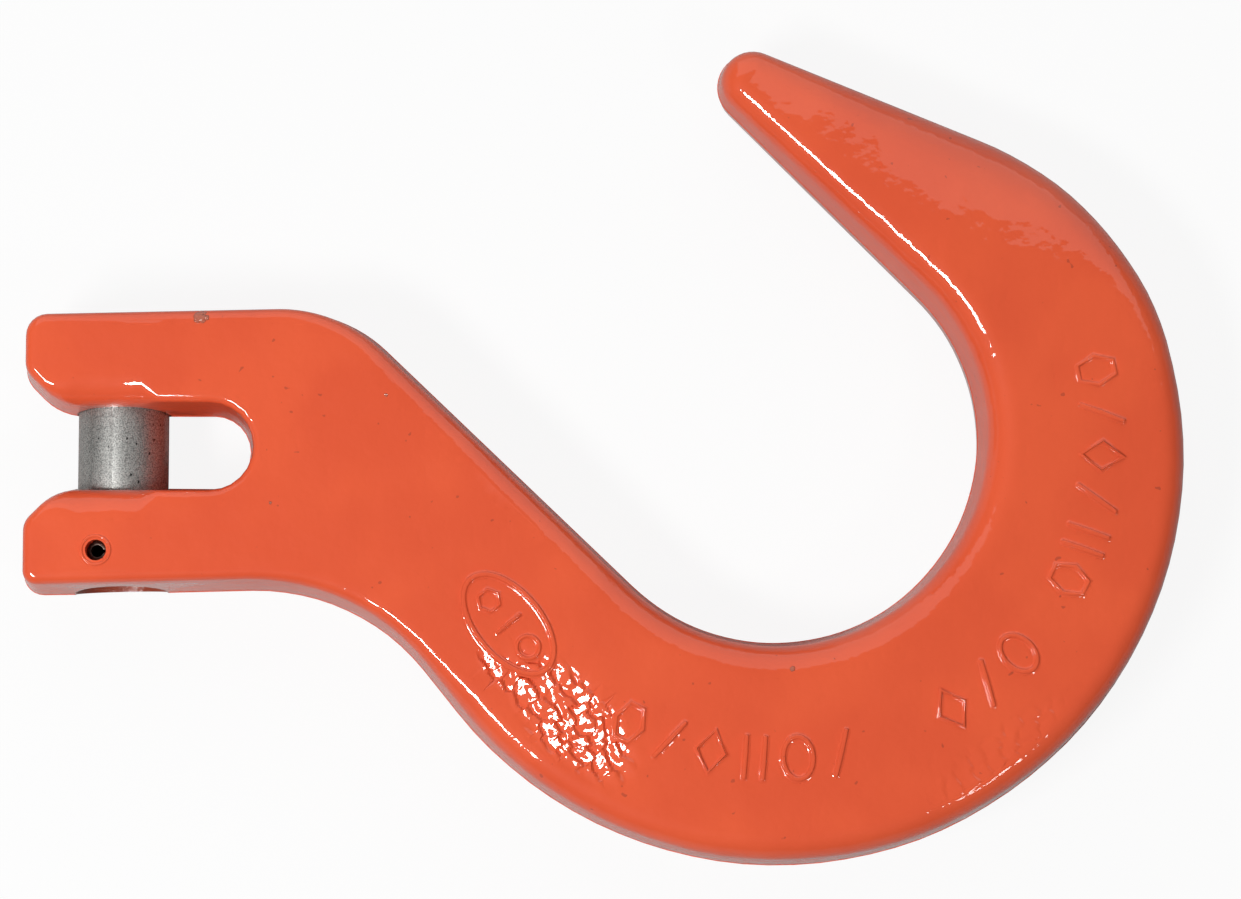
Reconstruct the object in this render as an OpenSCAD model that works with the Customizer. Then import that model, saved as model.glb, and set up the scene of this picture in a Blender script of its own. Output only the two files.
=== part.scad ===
// Clevis foundry hook for 16 mm chain, lying flat on its back face.
// +X runs from the load pin to the bowl, +Y along the load pin, +Z out of the hook's flat face.
// The origin is the centre of the load pin, halfway through the hook's thickness.

/* [Bowl] */
// Diameter of the bowl, which is also the width of the throat
bowl_d = 102; // [80:1:124]
// Distance along X from the load pin to the centre of the bowl
bowl_reach = 162; // [135:1:200]
// How far the bowl's centre lies above the load pin's centre line
bowl_rise = 3.7; // [0:0.1:8]
// Depth of metal around the bowl
bowl_depth = 50.7; // [40:0.1:62]
// How far the outer circle's centre lies below the bowl's centre
back_drop = 4.3; // [0:0.1:8]
// How far the outer circle's centre lies in front of the bowl's centre
back_lead = 0.4; // [0:0.1:2]
// Radius of the crown, where the back turns towards the tip
crown_r = 79.2; // [65:0.1:90]
// Direction of the crown's centre from the outer circle's centre
crown_angle = 16; // [5:1:30]

/* [Tip] */
// Radius of the rounded nose
nose_r = 8.7; // [7:0.1:12]
// Height of the nose's centre above the bowl's edge
nose_rise = 38; // [25:0.5:50]
// How far the nose's centre lies behind the bowl's centre
nose_back = 5.1; // [0:0.1:15]
// Thickness of the hook at its nose
nose_t = 25; // [18:0.5:32]

/* [Body] */
// Thickness of the forging
body_t = 38; // [32:0.5:46]
// Draft angle of the forged walls, away from the parting line
draft = 5.5; // [3:0.5:7]
// Radius of the long edges around the throat
throat_edge_r = 7.3; // [3:0.1:9]
// Radius of the long edges along the back
back_edge_r = 6; // [3:0.5:7]
// Radius of the outer edge beside the tip
tip_edge_r = 13; // [5:0.5:15]
// Radius of the edges around the nose
nose_edge_r = 6; // [3:0.5:6.5]
// Radius of the edges beside the shoulder and the neck
shoulder_edge_r = 4; // [2:0.5:6]
// Radius of the shoulder above the shank
shoulder_r = 36.5; // [28:0.5:44]
// Distance from the load pin to the shoulder's centre
shoulder_x = 40.2; // [36:0.1:48]
// Radius of the hollow under the neck
neck_fillet = 52.9; // [30:0.1:60]
// Distance from the load pin to the neck's centre
neck_x = 33.7; // [32:0.1:40]

/* [Clevis] */
// Height over both ears
clevis_h = 70; // [62:0.5:84]
// How much the ears' outer edges climb towards the shank, from each ear's middle
ear_climb = 0.6; // [0:0.1:1]
// Distance from the load pin to the ends of the ears
ear_end = 24.3; // [20.5:0.1:29]
// Gap between the ears at the parting line
jaw_gap = 18.2; // [15.1:0.1:21.9]
// Distance from the load pin to the bottom of the jaw
jaw_depth = 31.7; // [26.5:0.1:34]
// Size of the 45 degree lead-in at the jaw's mouth
mouth_chamfer = 8.8; // [7.5:0.1:10]
// Radius where the lead-in meets the jaw
mouth_r = 14; // [10:0.5:16]
// Radius of the ears' upper corner
upper_corner_r = 7.1; // [6:0.1:9]
// Radius of the ears' lower corner
lower_corner_r = 5; // [4.6:0.1:9]
// Radius of the ears' edges
ear_edge_r = 2.5; // [1:0.1:2.6]
// Radius of the jaw's edges at its round bottom
jaw_edge_r = 2; // [1:0.1:3]
// Radius of the jaw's edges beside the load pin, where the link swings
relief_edge_r = 7; // [3:0.5:7]
// Distance from the load pin at which those wider edges end
relief_end = 6; // [4:0.5:9]

/* [Load pin] */
// Diameter of the load pin
load_pin_d = 22.4; // [18.6:0.1:27]
// Radial clearance between the load pin and the ears
load_pin_clear = 0.2; // [0.05:0.05:0.5]
// How far each end of the load pin lies inside its ear
load_pin_recess = 3; // [1:0.1:5]
// Chamfer at the load pin's ends
load_pin_chamfer = 1; // [0.5:0.1:2]

/* [Retaining pin] */
// Diameter of the spring pin that holds the load pin
retainer_d = 5; // [4.2:0.1:6]
// Length of the spring pin
retainer_l = 30; // [25:0.5:34]
// Wall of the spring pin's rolled tube
retainer_wall = 1; // [0.6:0.05:1.2]
// Slit along the spring pin
retainer_slit = 0.8; // [0.4:0.1:1.2]
// Chamfer at the spring pin's ends
retainer_chamfer = 0.5; // [0.3:0.1:0.6]
// Radial clearance around the spring pin
retainer_clear = 0.05; // [0.02:0.01:0.08]
// How far the spring pin stands off the load pin's axis, towards the ears' ends
retainer_offset = 4.6; // [0:0.1:6]
// How far the spring pin lies beyond the middle of the lower ear
retainer_out = 3.6; // [0:0.1:5]

/* [Hidden] */

$fn = 96;
cut = 1;               // how far a cutter runs past the metal
bowl_r = bowl_d / 2;
back_r = bowl_r + bowl_depth;
ear_half = clevis_h / 2;
body_half = body_t / 2;
nose_half = nose_t / 2;
jaw_half = jaw_gap / 2;
retainer_x = -retainer_offset;
retainer_y = -(jaw_half + ear_half) / 2 - retainer_out;
retainer_hole_d = retainer_d + 2 * retainer_clear;
load_pin_l = clevis_h - 2 * load_pin_recess;

// Steps along each kind of arc, and from the wall to the face around each edge
corner_steps = 6;
neck_steps = 12;
back_steps = 44;
crown_steps = 16;
nose_steps = 8;
tip_steps = 6;
edge_steps = 8;

// Centres of the circles that the outline runs around
bowl_c = [bowl_reach, bowl_rise];
back_c = bowl_c + [back_lead, -back_drop];
crown_c = back_c + (back_r - crown_r) * [cos(crown_angle), sin(crown_angle)];
nose_c = bowl_c + [-nose_back, bowl_r + nose_rise];
shoulder_c = [shoulder_x, ear_half + ear_climb - shoulder_r];
upper_corner_c = [upper_corner_r - ear_end, ear_half - ear_climb - upper_corner_r];
lower_corner_c = [lower_corner_r - ear_end, lower_corner_r - ear_half - ear_climb];

// The neck's hollow is never so wide that it meets the back's circle
neck_gap = 0.4;
neck_top = ear_climb - ear_half;
neck_run = back_c.x - neck_x;
neck_drop = back_c.y - neck_top;
neck_room = (pow(neck_run, 2) + pow(neck_drop, 2) - pow(back_r + neck_gap, 2))
          / (2 * (back_r + neck_gap - neck_drop));
neck_r = min(neck_fillet, neck_room);
neck_c = [neck_x, neck_top - neck_r];

// Headings of the nose's two flanks and the direction in which the nose points
throat_heading = tangent([bowl_c, bowl_r, 1], [nose_c, nose_r, -1]);
crown_heading = tangent([crown_c, crown_r, 1], [nose_c, nose_r, 1]);
nose_heading = (throat_heading + crown_heading) / 2;

// ---- Outline: circles joined by their common tangents ----
// A stop is [centre, radius, turn, arc steps, steps on the straight after it,
//            [edge radius where its arc starts, ends], [half thickness where its arc starts, ends]].
// turn is 1 where the path bends left and -1 where it bends right.

// Heading of the straight that leaves circle a and meets circle b
function tangent(a, b) =
    let (d = b[0] - a[0], s = (b[2] * b[1] - a[2] * a[1]) / norm(d))
    atan2(d.y, d.x) - asin(max(-1, min(1, s)));

function left_of(heading) = [-sin(heading), cos(heading)];
function between(a, b, f) = a + f * (b - a);

// Point of a stop's circle where the path has this heading
function arc_point(stop, heading) = stop[0] - stop[2] * stop[1] * left_of(heading);

// Angle from one heading to the next, turning the stop's way
function sweep(stop, from, to) =
    let (turn = (stop[2] * (to - from) + 450) % 360 - 90) stop[2] * turn;

// One outline point: [x, y, inward x, inward y, edge radius, half thickness]
function outline_point(place, heading, metal, edge_r, half_t) =
    concat(place, metal * left_of(heading), [edge_r, half_t]);

// A stop with no arc steps is a single point on a straight, where a value changes
function arc_points(stop, from, to, metal) =
    let (turn = sweep(stop, from, to))
    [for (i = [0 : stop[3]])
        let (f = i / max(1, stop[3]), heading = from + turn * f)
        outline_point(arc_point(stop, heading), heading, metal,
                      between(stop[5][0], stop[5][1], f), between(stop[6][0], stop[6][1], f))];

// Points of the straight between two stops, without its ends
function straight_points(a, b, heading, metal) =
    let (from = arc_point(a, heading), to = arc_point(b, heading), steps = a[4])
    [for (i = [1 : 1 : steps])
        let (f = i / (steps + 1))
        outline_point(between(from, to, f), heading, metal,
                      between(a[5][1], b[5][0], f), between(a[6][1], b[6][0], f))];

// The whole path around a list of stops; metal is 1 if the metal is on its left, -1 on its right
function path(stops, start, end, metal) =
    let (last = len(stops) - 1,
         headings = concat([start],
                           [for (i = [0 : last - 1]) tangent(stops[i], stops[i + 1])],
                           [end]))
    [for (i = [0 : last])
        each concat(arc_points(stops[i], headings[i], headings[i + 1], metal),
                    i < last ? straight_points(stops[i], stops[i + 1], headings[i + 1], metal) : [])];

// Two stops that touch share one point, which is kept once
function unique(points) =
    [for (i = [0 : len(points) - 1])
        if (i == 0 || norm([points[i].x - points[i - 1].x, points[i].y - points[i - 1].y]) > 0.001) points[i]];

corner_turn = tan(22.5);
jaw_run = 2 * corner_steps + 3;      // points on the ear's outside that face the inside of the jaw
relief_fade = 4;                     // length over which the wide edges narrow
full = [body_half, body_half];
ear_edge = [ear_edge_r, ear_edge_r];
jaw_rim = [jaw_edge_r, jaw_edge_r];

// From the end of the upper ear into the jaw, to the middle of its round bottom
jaw_edge = path(
    [[[upper_corner_r - ear_end, jaw_half + mouth_chamfer + corner_turn * upper_corner_r],
      upper_corner_r, 1, corner_steps, 0, ear_edge, full],
     [[mouth_chamfer - ear_end + corner_turn * mouth_r, jaw_half + mouth_r],
      mouth_r, 1, corner_steps, 0, [ear_edge_r, relief_edge_r], full],
     [[relief_end, jaw_half + mouth_r], mouth_r, 1, 0, 0, [relief_edge_r, relief_edge_r], full],
     [[relief_end + relief_fade, jaw_half + mouth_r], mouth_r, 1, 0, 0, jaw_rim, full],
     [[jaw_depth - jaw_half, 0], jaw_half, -1, corner_steps, 0, jaw_rim, full]],
    -90, -90, 1);

// From the end of the upper ear over the shoulder and around the throat to the nose
throat_edge = path(
    [[upper_corner_c, upper_corner_r, -1, corner_steps, jaw_run, ear_edge, full],
     [shoulder_c, shoulder_r, -1, neck_steps, 0, [ear_edge_r, shoulder_edge_r], full],
     [bowl_c, bowl_r, 1, back_steps + crown_steps, tip_steps, [throat_edge_r, throat_edge_r], full],
     [nose_c, nose_r, -1, nose_steps, 0, [nose_edge_r, nose_edge_r], [nose_half, nose_half]]],
    90, nose_heading - 90, -1);

// From the end of the lower ear under the neck and around the back to the nose
back_edge = unique(path(
    [[lower_corner_c, lower_corner_r, 1, corner_steps, jaw_run, ear_edge, full],
     [neck_c, neck_r, -1, neck_steps, 0, [ear_edge_r, shoulder_edge_r], full],
     [back_c, back_r, 1, back_steps, 0, [back_edge_r, back_edge_r], full],
     [crown_c, crown_r, 1, crown_steps, tip_steps, [back_edge_r, tip_edge_r], full],
     [nose_c, nose_r, 1, nose_steps, 0, [nose_edge_r, nose_edge_r], [nose_half, nose_half]]],
    -90, nose_heading + 90, 1));

// ---- Forging: the outline repeated at each level between the two faces ----

mirrored_jaw = [for (p = jaw_edge) [p[0], -p[1], p[2], -p[3], p[4], p[5]]];

function reversed(points) = [for (i = [len(points) - 1 : -1 : 0]) points[i]];
function without_last(points) = [for (i = [0 : 1 : len(points) - 2]) points[i]];

// Once around: out of the jaw, over the top to the nose, back underneath, and into the jaw
outline = concat(reversed(jaw_edge), throat_edge, reversed(without_last(back_edge)), without_last(mirrored_jaw));
ring_n = len(outline);
jaw_last = len(jaw_edge) - 1;
edge_last = len(throat_edge) - 1;

// Place in the ring of point i of each edge, counted from the ears' ends
function upper_jaw(i) = jaw_last - i;
function throat(i) = jaw_last + 1 + i;
function back(i) = i == edge_last ? throat(i) : jaw_last + 1 + 2 * edge_last - i;
function lower_jaw(i) = i == jaw_last ? upper_jaw(i) : jaw_last + 2 + 2 * edge_last + i;

// A point's place on a level. Level 0 is the parting line, and the last level is the flat face.
level_last = edge_steps + 1;
function level_angle(level) = draft + (90 - draft) * (level - 1) / edge_steps;
function level_point(p, level) =
    let (r = p[4], half_t = p[5], side = level < 0 ? -1 : 1, a = level_angle(abs(level)),
         wall_top = half_t - r + r * sin(draft),
         height = level == 0 ? 0 : half_t - r + r * sin(a),
         inset = level == 0 ? 0 : tan(draft) * wall_top + r * (cos(draft) - cos(a)))
    [p[0] + inset * p[2], p[1] + inset * p[3], side * height];

// Two triangles that fill the four-sided patch a b c d
function patch(a, b, c, d) = [[a, b, c], [a, c, d]];

function wall_faces() =
    [for (level = [0 : 2 * level_last - 1], i = [0 : ring_n - 1])
        let (low = level * ring_n, high = low + ring_n, j = (i + 1) % ring_n)
        each patch(low + i, high + i, high + j, low + j)];

// One flat face: the two ears, the link behind the jaw, and the bar up to the nose
function face_faces() = concat(
    [for (i = [0 : jaw_last - 1])
        each patch(throat(i), upper_jaw(i), upper_jaw(i + 1), throat(i + 1))],
    [for (i = [0 : jaw_last - 1])
        each patch(lower_jaw(i), back(i), back(i + 1), lower_jaw(i + 1))],
    [[throat(jaw_last), upper_jaw(jaw_last), back(jaw_last)]],
    [for (i = [jaw_last : edge_last - 2])
        each patch(throat(i), back(i), back(i + 1), throat(i + 1))],
    [[throat(edge_last - 1), back(edge_last - 1), throat(edge_last)]]);

module forging() {
    top = 2 * level_last * ring_n;
    polyhedron(
        points = [for (level = [-level_last : level_last]) each [for (p = outline) level_point(p, level)]],
        faces = concat(
            wall_faces(),
            [for (f = face_faces()) [f[0], f[1], f[2]]],
            [for (f = face_faces()) [top + f[0], top + f[2], top + f[1]]]),
        convexity = 8);
}

// ---- Pieces ----

// The orange forging: two ears, shank, bowl and tip, bored for both pins
module hook_body() {
    color("#e45f3b")
    difference() {
        forging();
        rotate([90, 0, 0]) cylinder(d = load_pin_d + 2 * load_pin_clear, h = clevis_h + 2 * cut, center = true);
        translate([retainer_x, retainer_y, 0])
            cylinder(d = retainer_hole_d, h = body_t + 2 * cut, center = true);
    }
}

// The steel pin across the jaw, cross-drilled for the retaining pin
module load_pin() {
    straight = load_pin_l - 2 * load_pin_chamfer;
    color("#95948f")
    difference() {
        rotate([90, 0, 0]) union() {
            cylinder(d = load_pin_d, h = straight, center = true);
            for (end = [0, 1]) mirror([0, 0, end]) translate([0, 0, straight / 2])
                cylinder(d1 = load_pin_d, d2 = load_pin_d - 2 * load_pin_chamfer, h = load_pin_chamfer);
        }
        translate([retainer_x, retainer_y, 0])
            cylinder(d = retainer_hole_d, h = load_pin_d + 2 * cut, center = true);
    }
}

// The rolled spring pin, slit along its length, that keeps the load pin in place
module retaining_pin() {
    straight = retainer_l - 2 * retainer_chamfer;
    color("#4a4744")
    translate([retainer_x, retainer_y, 0])
    difference() {
        union() {
            cylinder(d = retainer_d, h = straight, center = true);
            for (end = [0, 1]) mirror([0, 0, end]) translate([0, 0, straight / 2])
                cylinder(d1 = retainer_d, d2 = retainer_d - 2 * retainer_chamfer, h = retainer_chamfer);
        }
        cylinder(d = retainer_d - 2 * retainer_wall, h = retainer_l + 2 * cut, center = true);
        translate([0, -retainer_slit / 2, -retainer_l / 2 - cut])
            cube([retainer_d, retainer_slit, retainer_l + 2 * cut]);
    }
}

hook_body();
load_pin();
retaining_pin();
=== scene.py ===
"""Looks of a forged clevis hook: enamelled forging, bare load pin and spring pin, on a pale studio floor."""
from math import atan2, cos, floor, radians, sin

import bmesh
import bpy
from mathutils import Matrix, Vector, noise


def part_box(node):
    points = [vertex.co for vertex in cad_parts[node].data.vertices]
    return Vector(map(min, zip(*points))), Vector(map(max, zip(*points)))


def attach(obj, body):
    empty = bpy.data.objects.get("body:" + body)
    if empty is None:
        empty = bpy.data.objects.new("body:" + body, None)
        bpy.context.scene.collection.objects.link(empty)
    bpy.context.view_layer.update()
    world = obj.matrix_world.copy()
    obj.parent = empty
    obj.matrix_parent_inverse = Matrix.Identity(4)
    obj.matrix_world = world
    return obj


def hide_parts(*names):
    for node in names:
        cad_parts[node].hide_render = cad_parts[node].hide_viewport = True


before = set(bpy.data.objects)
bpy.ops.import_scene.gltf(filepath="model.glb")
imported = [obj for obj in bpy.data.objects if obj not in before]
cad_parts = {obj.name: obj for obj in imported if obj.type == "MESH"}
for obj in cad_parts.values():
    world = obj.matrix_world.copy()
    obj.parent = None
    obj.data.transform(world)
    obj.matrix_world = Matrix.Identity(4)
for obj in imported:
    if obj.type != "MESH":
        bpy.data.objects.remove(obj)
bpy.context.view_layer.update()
MM = 0.001

# ---- Sizes of the design, from the frame's own pieces where they give them ----
body_low, body_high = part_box("hook_body")
pin_low, pin_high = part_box("load_pin")
retainer_low, retainer_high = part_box("retaining_pin")
FACE = body_high.z                                    # height of the flat face
PIN_R = (pin_high.x - pin_low.x) / 2
RETAINER = (retainer_low + retainer_high) / 2         # middle of the spring pin
RETAINER_R = (retainer_high.x - retainer_low.x) / 2
BOWL = Vector((162 * MM, 3.7 * MM, 0))                # centre of the bowl
THROAT_R = 51 * MM                                    # radius of the throat around it
FLANK = 45.5                                          # angle around it where the straight throat side begins
HOLE_GAP = 0.05 * MM                                  # clearance between the spring pin and its hole

# ---- Sizes of the surface's own detail ----
HOLE_RIM = 0.4 * MM                                   # rounding around the spring pin's hole
BORE_RIM = 0.8 * MM                                   # rounding around the load pin's bore
DOUBLES = 0.002 * MM                                  # vertices of a copy nearer than this are one
SLIVER = 0.02 * MM                                    # edges shorter than this are taken out
FLAT = 0.99                                           # a face counts as flat if its normal's Z is larger
GRID = 3 * MM                                         # cell by which the flat faces are cut for shaping
FINE_CUTS = 6                                         # further cuts of each cell in a flaked field
FLASH = 3 * MM                                        # height of the sheared land along the parting line
FLASH_PROUD = 0.1 * MM                                # how far the land stands out
CROWN_FALL = 0.12                                     # share of its thickness that the crown loses outwards
CROWN_UP = (42 * MM, 74 * MM)                         # heights in Y over which this loss sets in
CROWN_OUT = (10 * MM, 40 * MM)                        # distances from the throat side over which it grows
SWELL = 0.45 * MM                                     # height of the slow swell of the forged skin
SWELL_GRAIN = 26 * MM
SWELL_CLEAR = 6 * MM                                  # the swell fades out this near to the bores
# Fields on the flat face: middle, half length and half width, turn of the long axis in degrees, and strength
FLAKED = ((Vector((110.5 * MM, -66 * MM, FACE)), (24 * MM, 10.5 * MM), -46, 1.0),
          (Vector((97.8 * MM, -57.6 * MM, FACE)), (13 * MM, 4 * MM), -38, 1.0),
          (Vector((216 * MM, -74 * MM, FACE)), (22 * MM, 5 * MM), 38, 0.2))
FLAKE = Vector((4.6 * MM, 3.1 * MM, 0))               # length and width of a flake of scale
FLAKE_TURN = 33                                       # direction in which the flakes rise
FLAKE_LEAN = 0.30                                     # slope of the flakes
FLAKE_CREST = 0.85                                    # share of a flake's length at which it is highest
FLAKE_MIDDLE = 0.6                                    # share of its length at which it rises through the face
FLAKE_GRAIN = 2.4 * MM                                # grain and height of the roughness on the flakes
FLAKE_GRIT = 0.3 * MM
# Chips in the paint: place and radius, in millimetres
CHIPS = ((20.6, 31.6, 3.4), (159.9, -52.1, 1.0), (165.4, -54.4, 1.3), (175.7, -52.1, 0.9),
         (65.9, 12.4, 0.9), (37.9, -14.1, 0.8))

# ---- Raised marks, in millimetres and degrees ----
MARK_RADIUS = 80                                      # from the bowl's centre
MARK_STEP = 7.6                                       # from one raised mark to the next
MARK_ROWS = ((-117, ("hexagon", "slant", "lozenge", "bars", "oval", "slant")),
             (-58, ("lozenge", "slant", "oval")),
             (-27, ("hexagon", "bars", "slant", "lozenge", "slant", "hexagon")))
OUTLINE_SIDES = {"lozenge": 4, "hexagon": 6, "oval": 32}
OUTLINE = (12.5, 9.4)                                 # length and breadth of an outline
BAR, BAR_GAP = 12, 4.6                                # length of a pair of bars and the way between them
SLANT, SLANT_TURN = 13, -24                           # length and turn of a slanting bar
BADGE = Vector((96.2 * MM, -43.6 * MM, 0))            # middle of the oval badge
BADGE_TURN = -50
BADGE_SIZE = (31, 18)                                 # length and breadth of its oval
BADGE_SIGN, BADGE_STEP = 7.4, 7.4                     # size of a sign in the badge and the way to the next
BADGE_BAR = 8.6                                       # length of the bar in its middle
HOLE_BEAD = 8.7                                       # diameter of the bead around the spring pin's hole
MARK_WALL = 0.4                                       # upright part of a mark's side, sunk into the metal
# From there on, a mark's shoulder: how far each step goes inwards and up
SHOULDER = ((0.22, 0.062), (0.18, 0.05), (0.14, 0.28), (0.13, 0.22), (0.14, 0.02))

# ---- Colours ----
ORANGE, DEEP_ORANGE = (0.81, 0.112, 0.041), (0.76, 0.099, 0.037)
SPECK = (0.30, 0.05, 0.03)
CHIPPED = (0.26, 0.13, 0.09)
# Painted shade: dark colour on the load pin's bore walls, standing in for the shade in that recess
BORE_PAINTED_SHADE = (0.10, 0.03, 0.02)
STEEL, DULL_STEEL, CLOUDED_STEEL = (0.60, 0.60, 0.57), (0.20, 0.20, 0.19), (0.30, 0.31, 0.31)
NICK = (0.03, 0.03, 0.03)
SPRING, DULL_SPRING = (0.16, 0.12, 0.10), (0.05, 0.035, 0.03)
FLOOR_GREY = (0.48, 0.48, 0.48, 1)


# ---- Small tools for working as by hand ----
def deselect():
    for thing in bpy.context.selected_objects:
        thing.select_set(False)


def work_on(piece):
    deselect()
    piece.select_set(True)
    bpy.context.view_layer.objects.active = piece


def edit(piece, kind="VERT"):
    """Opens the piece in edit mode with nothing selected, and returns its edit mesh."""
    work_on(piece)
    bpy.ops.object.mode_set(mode="EDIT")
    bpy.ops.mesh.select_mode(type=kind)
    bpy.ops.mesh.select_all(action="DESELECT")
    return bmesh.from_edit_mesh(piece.data)


def close():
    bpy.ops.object.mode_set(mode="OBJECT")


def select(mesh, items, piece):
    """Selects these vertices, edges or faces of an open edit mesh."""
    for item in items:
        item.select_set(True)
    mesh.select_flush_mode()
    bmesh.update_edit_mesh(piece.data)


def named(name):
    """The object just added, renamed."""
    piece = bpy.context.object
    piece.name = name
    piece.data.name = name
    return piece


def apply_all(piece):
    work_on(piece)
    for modifier in list(piece.modifiers):
        bpy.ops.object.modifier_apply(modifier=modifier.name)


def settle(piece):
    """Puts the piece's place, turn and size into its mesh."""
    work_on(piece)
    bpy.ops.object.transform_apply(location=True, rotation=True, scale=True)


def join(pieces, name):
    deselect()
    for piece in pieces:
        piece.select_set(True)
    bpy.context.view_layer.objects.active = pieces[0]
    bpy.ops.object.join()
    return named(name)


def smooth(piece, angle=35):
    work_on(piece)
    bpy.ops.object.shade_smooth_by_angle(angle=radians(angle))


# ---- Materials ----
class Finish:
    """A material under construction: short calls that add and link shader nodes."""

    def __init__(self, name):
        self.material = bpy.data.materials.new(name)
        self.material.use_nodes = True
        self.nodes = self.material.node_tree.nodes
        self.links = self.material.node_tree.links
        self.shader = self.nodes["Principled BSDF"]
        self.place = self.nodes.new("ShaderNodeTexCoord").outputs["Object"]

    def put(self, value, socket):
        if isinstance(value, bpy.types.NodeSocket):
            self.links.new(value, socket)
        else:
            socket.default_value = value

    def noise(self, size, detail=3.0, rough=0.5, stretch=(1, 1, 1)):
        """Soft noise whose grains are about this many millimetres across."""
        mapping = self.nodes.new("ShaderNodeMapping")
        mapping.inputs["Scale"].default_value = stretch
        self.links.new(self.place, mapping.inputs["Vector"])
        node = self.nodes.new("ShaderNodeTexNoise")
        node.inputs["Scale"].default_value = 1 / (size * MM)
        node.inputs["Detail"].default_value = detail
        node.inputs["Roughness"].default_value = rough
        self.links.new(mapping.outputs["Vector"], node.inputs["Vector"])
        return node.outputs["Fac"]

    def math(self, operation, a, b=0.0, c=0.0):
        node = self.nodes.new("ShaderNodeMath")
        node.operation = operation
        for value, socket in zip((a, b, c), node.inputs):
            self.put(value, socket)
        return node.outputs[0]

    def ramp(self, value, low, high):
        """0 below low, 1 above high, smooth in between; the other way round if low is the larger."""
        node = self.nodes.new("ShaderNodeMapRange")
        node.interpolation_type = "SMOOTHSTEP"
        ends = (low, high, 0, 1) if low < high else (high, low, 1, 0)
        for end, socket in zip(ends, list(node.inputs)[1:5]):
            socket.default_value = end
        self.put(value, node.inputs["Value"])
        return node.outputs["Result"]

    def mix(self, share, a, b):
        node = self.nodes.new("ShaderNodeMix")
        node.data_type = "RGBA"
        self.put(share, node.inputs["Factor"])
        for value, socket in ((a, node.inputs[6]), (b, node.inputs[7])):
            self.put(value if isinstance(value, bpy.types.NodeSocket) else (*value, 1), socket)
        return node.outputs[2]

    def near(self, spot, reach):
        """1 at a spot given in metres, fading to 0 at its reach."""
        node = self.nodes.new("ShaderNodeVectorMath")
        node.operation = "DISTANCE"
        self.links.new(self.place, node.inputs[0])
        node.inputs[1].default_value = spot
        return self.ramp(node.outputs["Value"], reach, 0.1 * reach)

    def from_axis(self):
        """Distance from the load pin's centre line."""
        node = self.nodes.new("ShaderNodeVectorMath")
        node.operation = "MULTIPLY"
        self.links.new(self.place, node.inputs[0])
        node.inputs[1].default_value = (1, 0, 1)
        length = self.nodes.new("ShaderNodeVectorMath")
        length.operation = "LENGTH"
        self.links.new(node.outputs["Vector"], length.inputs[0])
        return length.outputs["Value"]

    def bump(self, height, depth, below=None):
        node = self.nodes.new("ShaderNodeBump")
        node.inputs["Distance"].default_value = depth * MM
        self.put(height, node.inputs["Height"])
        if below is not None:
            self.links.new(below, node.inputs["Normal"])
        return node.outputs["Normal"]

    def set(self, **values):
        for name, value in values.items():
            self.put(value, self.shader.inputs[name.replace("_", " ")])
        return self.material


def enamel():
    """Thick glossy orange paint over a shot-blasted forging."""
    paint = Finish("orange_enamel")
    tone = paint.ramp(paint.noise(30, 2), 0.35, 0.65)
    colour = paint.mix(tone, ORANGE, DEEP_ORANGE)
    specks = paint.ramp(paint.noise(2.2, 1), 0.76, 0.80)
    colour = paint.mix(paint.math("MULTIPLY", specks, 0.5), colour, SPECK)
    ragged = paint.noise(1.2, 2, 0.7)
    chips = 0.0
    for x, y, radius in CHIPS:
        chips = paint.math("MAXIMUM", chips, paint.near((x * MM, y * MM, FACE), radius * MM))
    chips = paint.ramp(paint.math("MULTIPLY", chips, ragged), 0.24, 0.32)
    colour = paint.mix(paint.math("MULTIPLY", chips, 0.6), colour, CHIPPED)
    waves = paint.bump(paint.noise(6, 2.6, 0.55), 0.26)
    # Inside the load pin's bore the colour is darkened as painted shade for the recess, and the bump gets
    # fine rings
    bore_shade_and_rings = paint.ramp(paint.from_axis(), PIN_R + 0.6 * MM, PIN_R + 0.4 * MM)
    colour = paint.mix(paint.math("MULTIPLY", bore_shade_and_rings, 0.75), colour, BORE_PAINTED_SHADE)
    rings = paint.bump(paint.noise(1.2, 3, 0.7), 0.3, waves)
    waves = paint.mix(bore_shade_and_rings, waves, rings)
    chipped = paint.bump(paint.math("MULTIPLY", chips, ragged), 0.5, waves)
    peel = paint.bump(paint.noise(0.9, 2), 0.006, chipped)
    return paint.set(Base_Color=colour, Roughness=0.5, Specular_IOR_Level=0.1,
                 Coat_Weight=1.0, Coat_Roughness=0.03, Normal=peel, Coat_Normal=peel)


def bare_steel():
    """Heat-treated pin: grey, finely speckled, without polish."""
    metal = Finish("bare_steel")
    grain = metal.ramp(metal.noise(0.35, 3, 0.7), 0.36, 0.62)
    cloud = metal.noise(5, 2)
    colour = metal.mix(grain, DULL_STEEL, STEEL)
    colour = metal.mix(metal.math("MULTIPLY", cloud, 0.35), colour, CLOUDED_STEEL)
    nicks = metal.ramp(metal.noise(1.1, 1, stretch=(1, 0.6, 1)), 0.72, 0.75)
    colour = metal.mix(nicks, colour, NICK)
    rough = metal.ramp(metal.noise(0.5, 2), 0.0, 1.0)
    rough = metal.math("MULTIPLY_ADD", rough, 0.25, 0.33)
    surface = metal.bump(metal.noise(0.3, 2), 0.01)
    return metal.set(Base_Color=colour, Metallic=0.85, Roughness=rough, Normal=surface)


def spring_steel():
    """The rolled pin's brown-black steel."""
    metal = Finish("dark_spring_steel")
    grain = metal.noise(0.6, 3, 0.6)
    colour = metal.mix(metal.ramp(grain, 0.35, 0.65), DULL_SPRING, SPRING)
    return metal.set(Base_Color=colour, Metallic=0.8, Roughness=0.42, Normal=metal.bump(grain, 0.02))


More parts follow.
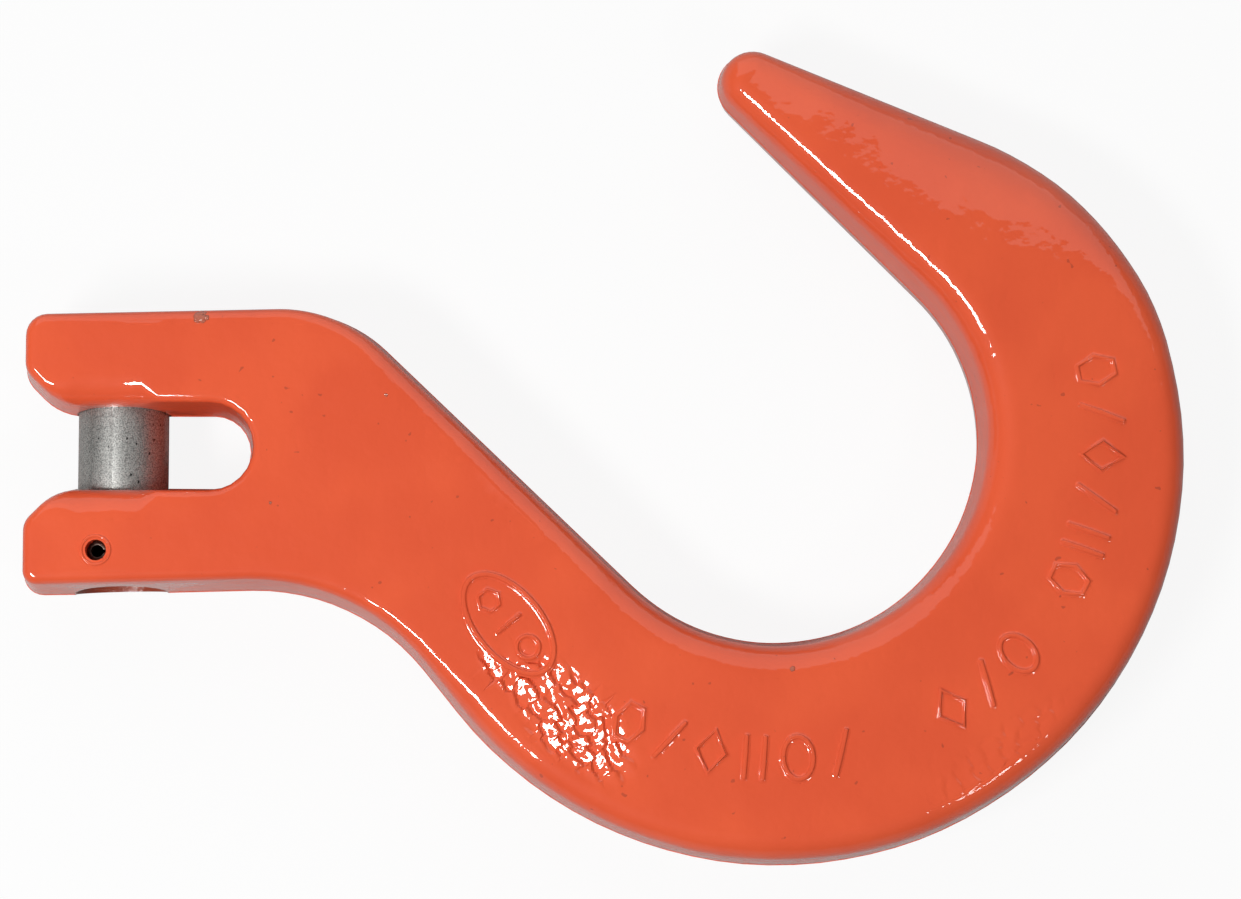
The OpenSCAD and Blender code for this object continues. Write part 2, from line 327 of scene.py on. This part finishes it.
# ---- Forging ----
def own_copy(node, name):
    """A copy of a frame piece with its doubles merged, free to be worked on."""
    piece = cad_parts[node].copy()
    piece.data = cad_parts[node].data.copy()
    piece.name = piece.data.name = name
    for key in list(piece.keys()):
        del piece[key]
    bpy.context.scene.collection.objects.link(piece)
    work_on(piece)
    bpy.ops.mesh.customdata_custom_splitnormals_clear()
    edit(piece)
    bpy.ops.mesh.select_all(action="SELECT")
    bpy.ops.mesh.remove_doubles(threshold=DOUBLES)
    bpy.ops.mesh.dissolve_limited(angle_limit=radians(0.05))
    close()
    return piece


def ease_rims(piece):
    """Rounds the rims of the bores for both pins."""
    close_to = 0.01 * MM
    bore_r = max(v.co.x for v in piece.data.vertices if abs(v.co.z) < close_to and v.co.x < PIN_R + 1 * MM)
    hole_r = RETAINER_R + HOLE_GAP

    def on_hole(v):
        return abs((v.co.xy - RETAINER.xy).length - hole_r) < close_to

    def on_bore(v):
        return abs(v.co.xz.length - bore_r) < close_to

    for on_rim, width, levels in ((on_hole, HOLE_RIM, 4), (on_bore, BORE_RIM, 3)):
        mesh = edit(piece, "EDGE")
        rims = [e for e in mesh.edges
                if all(on_rim(v) for v in e.verts) and e.calc_face_angle(0) > radians(40)]
        select(mesh, rims, piece)
        bpy.ops.mesh.bevel(offset=width, segments=levels, affect="EDGES", clamp_overlap=True)
        close()


def trim_flash(piece):
    """The parting line: a flat sheared land that stands a little proud all the way around."""
    mesh = edit(piece, "EDGE")
    line = [e for e in mesh.edges if all(abs(v.co.z) < 0.001 * MM for v in e.verts)
            and radians(5) < e.calc_face_angle(0) < radians(20)]
    select(mesh, line, piece)
    bpy.ops.mesh.bevel(offset=FLASH / 2, segments=1, affect="EDGES", clamp_overlap=True)
    close()
    mesh = edit(piece, "FACE")
    land = [f for f in mesh.faces if abs(f.normal.z) < 0.004 and abs(f.calc_center_median().z) < 0.05 * MM
            and max(abs(v.co.z) for v in f.verts) < 0.6 * FLASH]
    select(mesh, land, piece)
    bpy.ops.mesh.extrude_region_shrink_fatten(TRANSFORM_OT_shrink_fatten={"value": FLASH_PROUD})
    close()


def cut_grid(low, high, step):
    """Cuts the selected faces along a square grid between two corners, so that they can be shaped."""
    bpy.ops.mesh.hide(unselected=True)
    for axis in (0, 1):
        for i in range(1, round((high[axis] - low[axis]) / step)):
            place, normal = [0, 0, 0], [0, 0, 0]
            place[axis], normal[axis] = low[axis] + i * step, 1
            bpy.ops.mesh.select_all(action="SELECT")
            bpy.ops.mesh.bisect(plane_co=place, plane_no=normal)
    bpy.ops.mesh.reveal(select=False)


def is_flat(face):
    """True for the two flat faces and their slopes down to the nose, not for the rounded edges."""
    longest = max(e.calc_length() for e in face.edges)
    return abs(face.normal.z) > FLAT and face.calc_area() > 3 * MM * longest


def around_bowl(angle, radius):
    """A place on the flat face: an angle around the bowl and a distance from its centre in millimetres."""
    return BOWL + Vector((cos(radians(angle)), sin(radians(angle)), 0)) * radius * MM


def weigh(piece, name, share):
    """A vertex group whose weights come from a function of the place."""
    group = piece.vertex_groups.new(name=name)
    for v in piece.data.vertices:
        weight = share(v.co)
        if weight > 0:
            group.add([v.index], min(weight, 1), "REPLACE")
    return name


def roughen(piece, group, grain, height, middle):
    """Moves the surface in and out by soft noise, as far as the vertex group says."""
    clouds = bpy.data.textures.new(group, "CLOUDS")
    clouds.noise_scale = grain
    clouds.noise_depth = 1
    change = piece.modifiers.new(group, "DISPLACE")
    change.texture = clouds
    change.texture_coords = "LOCAL"
    change.strength = height
    change.mid_level = middle
    change.vertex_group = group
    apply_all(piece)
    bpy.data.textures.remove(clouds)


def ramp(value, low, high):
    """0 below low and 1 above high, smooth in between."""
    share = min(max((value - low) / (high - low), 0), 1)
    return share * share * (3 - 2 * share)


def field(co, place, reach, turn, strength):
    """Full strength in the middle of a turned oval field, and 0 from its edge on."""
    away = Matrix.Rotation(radians(-turn), 2) @ (co - place).xy
    gone = (away.x / reach[0]) ** 2 + (away.y / reach[1]) ** 2
    return strength * ramp(1 - gone, 0, 0.6)


def flaked(co, depth):
    """How strongly the skin is flaked at a place, if it lies within this depth of the flat face."""
    return max(field(co, *spot) for spot in FLAKED) if co.z > FACE - depth else 0


def crown_tip(piece):
    """Lets both faces fall away towards the outside of the crown and the tip."""
    flank = Vector((cos(radians(FLANK)), sin(radians(FLANK)), 0))
    for v in piece.data.vertices:
        out = v.co - BOWL
        out.z = 0
        past_flank = atan2(out.y, out.x) > radians(FLANK)
        across = (out.dot(flank) if past_flank else out.length) - THROAT_R
        fall = ramp(v.co.y, *CROWN_UP) * ramp(across, *CROWN_OUT)
        v.co.z *= 1 - CROWN_FALL * fall


def clean_slivers(piece):
    """Takes out the slivers that cutting leaves in and around the flat faces."""
    skin_depth = 2.5 * MM
    mesh = edit(piece, "FACE")
    select(mesh, [f for f in mesh.faces if abs(f.calc_center_median().z) > FACE - skin_depth], piece)
    bpy.ops.mesh.quads_convert_to_tris()
    bpy.ops.mesh.dissolve_degenerate(threshold=SLIVER)
    close()


def flake_height(place):
    """Height on a field of flakes: rows of short slopes, each row starting at a place of its own."""
    along = Matrix.Rotation(radians(-FLAKE_TURN), 3, "Z") @ Vector((place.x, place.y, 0))
    waver = 0.9 * noise.noise(along / (6 * MM))
    row = floor(along.y / FLAKE.y + waver)
    start = noise.cell(Vector((row + 0.5, 0.5, 0.5)))
    warp = 0.18 * noise.noise(along / (3.5 * MM)) + 0.5 * noise.noise(along / (11 * MM))
    step = (along.x / FLAKE.x + warp + start) % 1
    rise = step if step < FLAKE_CREST else (1 - step) * FLAKE_CREST / (1 - FLAKE_CREST)
    return (rise - FLAKE_MIDDLE) * FLAKE.x * FLAKE_LEAN


def flake_face(piece):
    """Breaks the flaked fields of the flat face into short leaning steps, rounded by the paint."""
    for v in piece.data.vertices:
        share = flaked(v.co, 2 * MM)
        if share > 0:
            v.co.z += flake_height(v.co) * share
    weigh(piece, "flakes", lambda co: flaked(co, 3 * MM))
    change = piece.modifiers.new("paint", "SMOOTH")
    change.factor = 0.5
    change.iterations = 1
    change.vertex_group = "flakes"
    apply_all(piece)
    roughen(piece, "flakes", FLAKE_GRAIN, FLAKE_GRIT, 0.5)


def shape_face(piece):
    """The as-forged skin: a falling crown, fields of flaked scale, and a slow swell everywhere."""
    mesh = edit(piece, "FACE")
    select(mesh, [f for f in mesh.faces if is_flat(f)], piece)
    cut_grid(body_low, body_high, GRID)
    close()
    clean_slivers(piece)
    mesh = edit(piece, "FACE")
    inside = [f for f in mesh.faces
              if abs(f.normal.z) > FLAT and flaked(f.calc_center_median(), 1 * MM) > 0]
    select(mesh, inside, piece)
    bpy.ops.mesh.subdivide(number_cuts=FINE_CUTS)
    close()
    clean_slivers(piece)
    crown_tip(piece)
    flake_face(piece)

    def away_from_pins(co):
        past_bore = max(co.xz.length - PIN_R, 0) if co.x < 30 * MM else 1
        past_hole = (co.xy - RETAINER.xy).length - RETAINER_R
        return min(past_bore, past_hole) / SWELL_CLEAR - 0.2

    weigh(piece, "swell", away_from_pins)
    roughen(piece, "swell", SWELL_GRAIN, SWELL, 0.65)
    work_on(piece)
    bpy.ops.object.vertex_group_remove(all=True)


def forging():
    """The enamelled forging: the frame's own shape, with eased bore rims and a trimmed parting line."""
    piece = own_copy("hook_body", "enamelled_forging")
    ease_rims(piece)
    trim_flash(piece)
    shape_face(piece)
    return piece


# ---- Raised marks: plain bars and outlines, forged on the flat face ----
def raise_relief():
    """Gives the selected flat outline of an open mesh its closed foot and its round-shouldered top."""
    bpy.ops.mesh.extrude_region_move(TRANSFORM_OT_translate={"value": (0, 0, MARK_WALL * MM)})
    for inward, up in SHOULDER:
        bpy.ops.mesh.inset(thickness=inward * MM, depth=up * MM)
    bpy.ops.mesh.select_all(action="SELECT")
    bpy.ops.mesh.normals_make_consistent(inside=False)
    close()


def bar(length, width=2.2):
    """A raised bar along X with round ends."""
    bpy.ops.mesh.primitive_circle_add(vertices=16, radius=width / 2 * MM, fill_type="NGON",
                                      location=(0, 0, 0))
    piece = named("bar")
    for side in (-1, 1):
        mesh = edit(piece)
        half = [v for v in mesh.verts if v.co.x * side > 0.01 * width * MM]
        select(mesh, half, piece)
        bpy.ops.transform.translate(value=(side * (length - width) / 2 * MM, 0, 0))
        close()
    edit(piece, "FACE")
    bpy.ops.mesh.select_all(action="SELECT")
    raise_relief()
    return piece


def outline(sides, length, breadth, width=2.1):
    """A raised outline: an oval with many sides, or a lozenge or hexagon with few."""
    bpy.ops.mesh.primitive_circle_add(vertices=sides, radius=0.5, location=(0, 0, 0))
    piece = named("outline")
    edit(piece, "EDGE")
    bpy.ops.mesh.select_all(action="SELECT")
    middle = {"center_override": (0, 0, 0)}
    bpy.ops.transform.resize(value=(length * MM, breadth * MM, 1), **middle)
    inner = ((length - 2 * width) / length, (breadth - 2 * width) / breadth, 1)
    bpy.ops.mesh.extrude_region_move()
    bpy.ops.transform.resize(value=inner, **middle)
    bpy.ops.mesh.select_mode(type="FACE")
    bpy.ops.mesh.select_all(action="SELECT")
    raise_relief()
    return piece


def lay(piece, place, turn):
    """Lays a mark on the flat face with its foot sunk into the metal."""
    sunk = (MARK_WALL + 0.02) * MM
    piece.location = (place.x, place.y, FACE - sunk)
    piece.rotation_euler.z = radians(turn)
    settle(piece)
    return piece


def raised_marks():
    """Rows of plain marks around the bowl, the bead around the hole, and the oval badge."""
    marks = []

    def mark(make, angle, turn=0, shift=0):
        place = around_bowl(angle, MARK_RADIUS)
        along = Vector((-sin(radians(angle)), cos(radians(angle)), 0)) * shift * MM
        marks.append(lay(make(), place + along, angle + turn))

    for start, kinds in MARK_ROWS:
        for i, kind in enumerate(kinds):
            angle = start + i * MARK_STEP
            if kind == "bars":
                for side in (-1, 1):
                    mark(lambda: bar(BAR), angle, shift=side * BAR_GAP / 2)
            elif kind == "slant":
                mark(lambda: bar(SLANT), angle, turn=SLANT_TURN)
            else:
                mark(lambda: outline(OUTLINE_SIDES[kind], *OUTLINE), angle)
    bead = outline(40, HOLE_BEAD, HOLE_BEAD, 1.7)
    bead.scale.z = 0.8
    marks.append(lay(bead, RETAINER, 0))
    marks.append(lay(outline(64, *BADGE_SIZE, 2.2), BADGE, BADGE_TURN))
    step = Matrix.Rotation(radians(BADGE_TURN), 3, "Z") @ Vector((BADGE_STEP * MM, 0, 0))
    signs = ((-1, lambda: outline(6, BADGE_SIGN, BADGE_SIGN, 1.8), 0),
             (0, lambda: bar(BADGE_BAR, 1.9), 90),
             (1, lambda: outline(24, BADGE_SIGN, BADGE_SIGN, 1.8), 0))
    for steps, make, turn in signs:
        marks.append(lay(make(), BADGE + steps * step, BADGE_TURN + turn))
    piece = join(marks, "forged_marks")
    smooth(piece, 60)
    return piece


# ---- Pins ----
def soften_pin(node, name, width):
    """A pin from the frame with every sharp edge broken."""
    piece = own_copy(node, name)
    mesh = edit(piece, "EDGE")
    sharp = [e for e in mesh.edges if e.calc_face_angle(0) > radians(30)]
    select(mesh, sharp, piece)
    bpy.ops.mesh.bevel(offset=width, segments=2, affect="EDGES", clamp_overlap=True)
    close()
    smooth(piece, 30)
    return piece


# ---- Studio ----
def pale_floor():
    """A floor that looks white to the camera and lights the object less."""
    bpy.ops.mesh.primitive_plane_add(size=6, location=(BOWL.x, 0, body_low.z))
    ground = named("floor")
    settle(ground)
    white = Finish("floor_white")
    white.set(Base_Color=FLOOR_GREY, Roughness=0.6)
    glow = white.nodes.new("ShaderNodeEmission")
    glow.inputs["Strength"].default_value = 1.06
    seen = white.nodes.new("ShaderNodeLightPath")
    both = white.nodes.new("ShaderNodeMixShader")
    white.links.new(white.math("MULTIPLY", seen.outputs["Is Camera Ray"], 0.85), both.inputs[0])
    white.links.new(white.shader.outputs[0], both.inputs[1])
    white.links.new(glow.outputs[0], both.inputs[2])
    white.links.new(both.outputs[0], white.nodes["Material Output"].inputs["Surface"])
    ground.data.materials.append(white.material)


def dim_room():
    """White surroundings that are bright low down and dark overhead."""
    world = bpy.data.worlds.new("studio")
    bpy.context.scene.world = world
    world.use_nodes = True
    nodes, links = world.node_tree.nodes, world.node_tree.links
    height = nodes.new("ShaderNodeSeparateXYZ")
    links.new(nodes.new("ShaderNodeTexCoord").outputs["Generated"], height.inputs[0])
    fade = nodes.new("ShaderNodeMapRange")
    low, high, bright, dark = 0.04, 0.22, 0.40, 0.05
    for value, socket in zip((low, high, bright, dark), list(fade.inputs)[1:5]):
        socket.default_value = value
    links.new(height.outputs["Z"], fade.inputs["Value"])
    links.new(fade.outputs["Result"], nodes["Background"].inputs["Strength"])
    nodes["Background"].inputs["Color"].default_value = (1, 1, 1, 1)


def lamps():
    """A small lamp over the fork's side, a weaker one over the bowl's, and a white wall behind the tip."""
    aim = Vector((0.11, 0, 0))
    for name, place, width, height, power in (
            ("key_lamp", (-0.46, -0.385, 1.08), 0.38, 0.21, 12.6),
            ("side_lamp", (0.77, -0.66, 1.25), 0.20, 0.20, 2.4),
            ("white_wall", (0.20, 0.99, 0.77), 2.2, 1.6, 9.8)):
        data = bpy.data.lights.new(name, "AREA")
        data.shape = "RECTANGLE"
        data.size, data.size_y, data.energy = width, height, power
        lamp = bpy.data.objects.new(name, data)
        bpy.context.scene.collection.objects.link(lamp)
        lamp.location = place
        lamp.rotation_euler = (aim - Vector(place)).to_track_quat("-Z", "Y").to_euler()


def camera_overhead():
    """Looks down on the flat face from a metre away, a little from the front and the left."""
    distance, tilt, lean = 1.0, radians(5.5), radians(1.0)
    width = 310 * MM
    target = Vector((123.8 * MM, 1.0 * MM, 0))
    away = Vector((-sin(lean), -sin(tilt) * cos(lean), cos(tilt) * cos(lean)))
    right = Vector((0, 1, 0)).cross(away).normalized()
    up = away.cross(right)
    data = bpy.data.cameras.new("camera")
    data.sensor_width = 36
    data.lens = data.sensor_width * distance / width
    data.clip_start = 0.01
    camera = bpy.data.objects.new("camera", data)
    bpy.context.scene.collection.objects.link(camera)
    turn = Matrix((right, up, away)).transposed().to_4x4()
    camera.matrix_world = Matrix.Translation(target + away * distance) @ turn
    bpy.context.scene.camera = camera
    bpy.context.scene.view_settings.view_transform = "Standard"
    bpy.context.scene.view_settings.look = "None"


def finish_piece(piece, finish, body, slot, *nodes):
    """Paints a piece, fixes it to its body and hides the frame pieces it stands for."""
    piece.data.materials.clear()
    piece.data.materials.append(finish)
    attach(piece, body)
    if nodes:
        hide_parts(*nodes)


deselect()
orange, steel, dark = enamel(), bare_steel(), spring_steel()
hook = forging()
smooth(hook)
finish_piece(hook, orange, "hook", "orange_enamel", "hook_body")
finish_piece(raised_marks(), orange, "hook", "orange_enamel")
finish_piece(soften_pin("load_pin", "turned_load_pin", 0.25 * MM), steel, "hook", "bare_steel", "load_pin")
finish_piece(soften_pin("retaining_pin", "rolled_spring_pin", 0.12 * MM), dark, "retainer",
             "dark_spring_steel", "retaining_pin")

pale_floor()
dim_room()
lamps()
camera_overhead()
